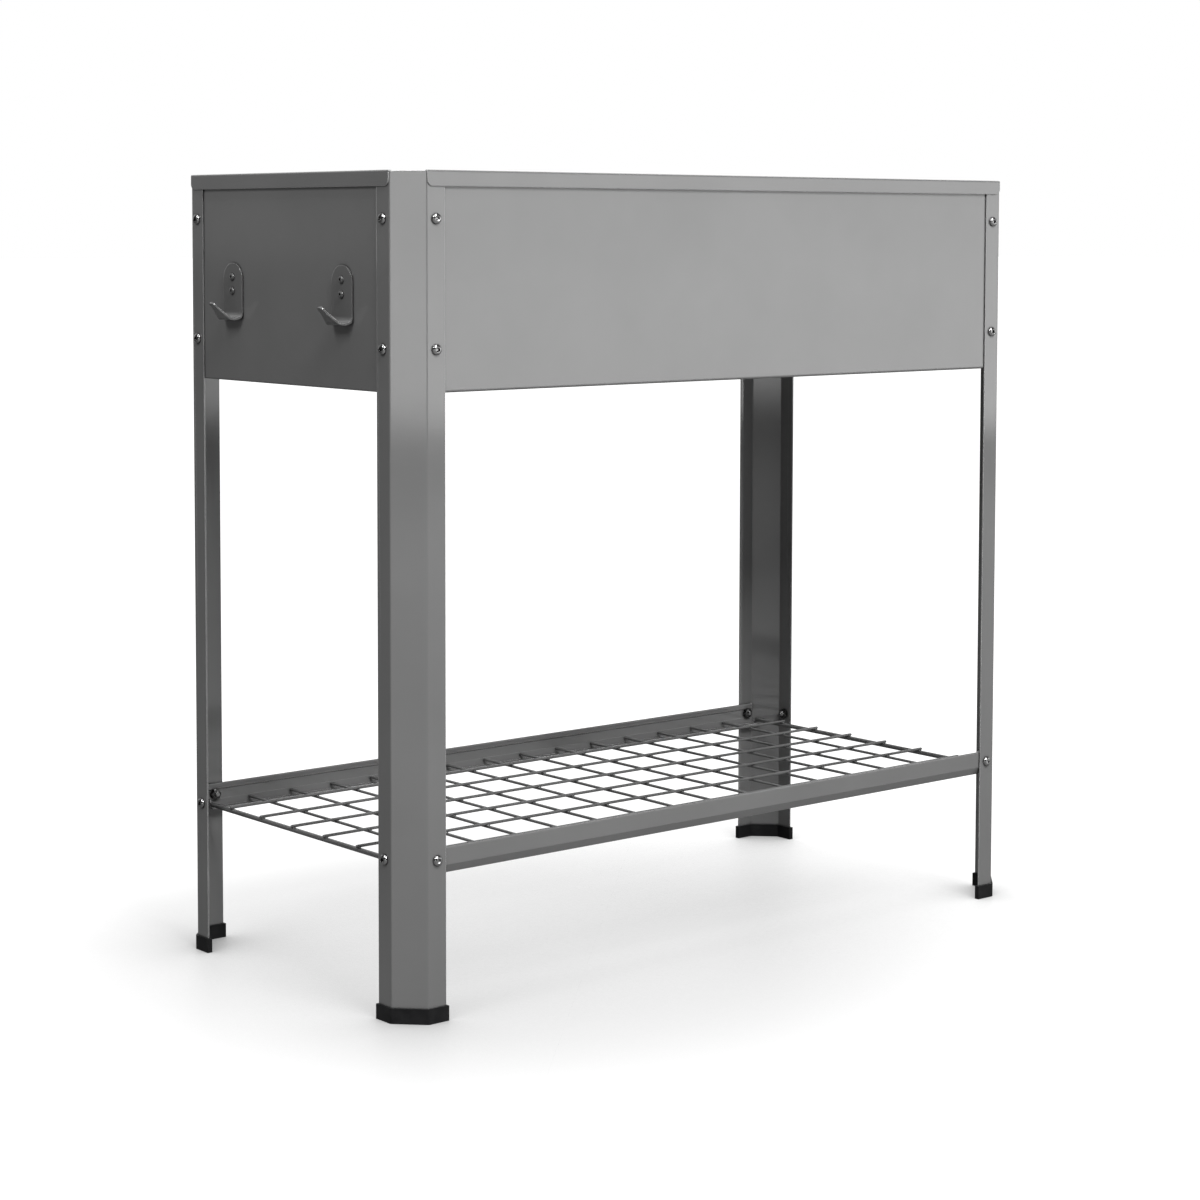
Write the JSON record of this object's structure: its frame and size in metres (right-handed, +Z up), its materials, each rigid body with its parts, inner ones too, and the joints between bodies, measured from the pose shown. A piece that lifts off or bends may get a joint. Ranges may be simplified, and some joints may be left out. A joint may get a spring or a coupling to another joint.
{
  "type": "raised planter on legs",
  "caption": "Raised rectangular planter box of folded sheet metal on chamfered corner legs, with a low wire storage shelf and tool hooks on one end.",
  "frame": {"origin": "on the floor, under the middle of the whole outline: the hooks at the -X end count, so the legs stand 11.6 mm off centre towards +X", "axes": "+X along the long side, away from the end with the hooks; +Y towards the back long panel; +Z up"},
  "size_m": [0.8598, 0.4026, 0.8],
  "materials": {
    "painted_sheet": "semi-gloss powder coat",
    "painted_wire": "semi-gloss powder coat",
    "foot_plastic": "satin moulded plastic",
    "bolt_steel": "zinc plated",
    "nut_steel": "zinc plated",
    "painted_screw": "painted with the sheet"
  },
  "bodies": {
    "frame": {"leg_front_left": "painted_sheet", "leg_front_right": "painted_sheet", "leg_back_right": "painted_sheet", "leg_back_left": "painted_sheet", "foot_front_left": "foot_plastic", "foot_front_right": "foot_plastic", "foot_back_right": "foot_plastic", "foot_back_left": "foot_plastic", "front_panel": "painted_sheet", "right_end_panel": "painted_sheet", "back_panel": "painted_sheet", "left_end_panel": "painted_sheet", "base_panel": "painted_sheet", "base_stiffener_left": "painted_sheet", "base_stiffener_right": "painted_sheet", "hook_front": "painted_sheet", "hook_back": "painted_sheet", "shelf_rail_front": "painted_sheet", "shelf_rail_back": "painted_sheet", "panel_bolts": "bolt_steel", "rail_bolts": "bolt_steel", "shelf_stop_bolts": "bolt_steel", "panel_nuts": "nut_steel", "rail_nuts": "nut_steel", "shelf_stop_nuts": "nut_steel", "hook_nuts": "nut_steel", "hook_screws": "painted_screw"},
    "wire_shelf": {"shelf_end_rod_left": "painted_wire", "shelf_end_rod_right": "painted_wire", "shelf_cross_wires": "painted_wire", "shelf_long_wires": "painted_wire"}
  },
  "joints": [
    {"name": "shelf_lift", "type": "slide", "parent": "frame", "child": "wire_shelf", "axis": [0, 0, 1], "range_m": [0, 0.4]}
  ]
}
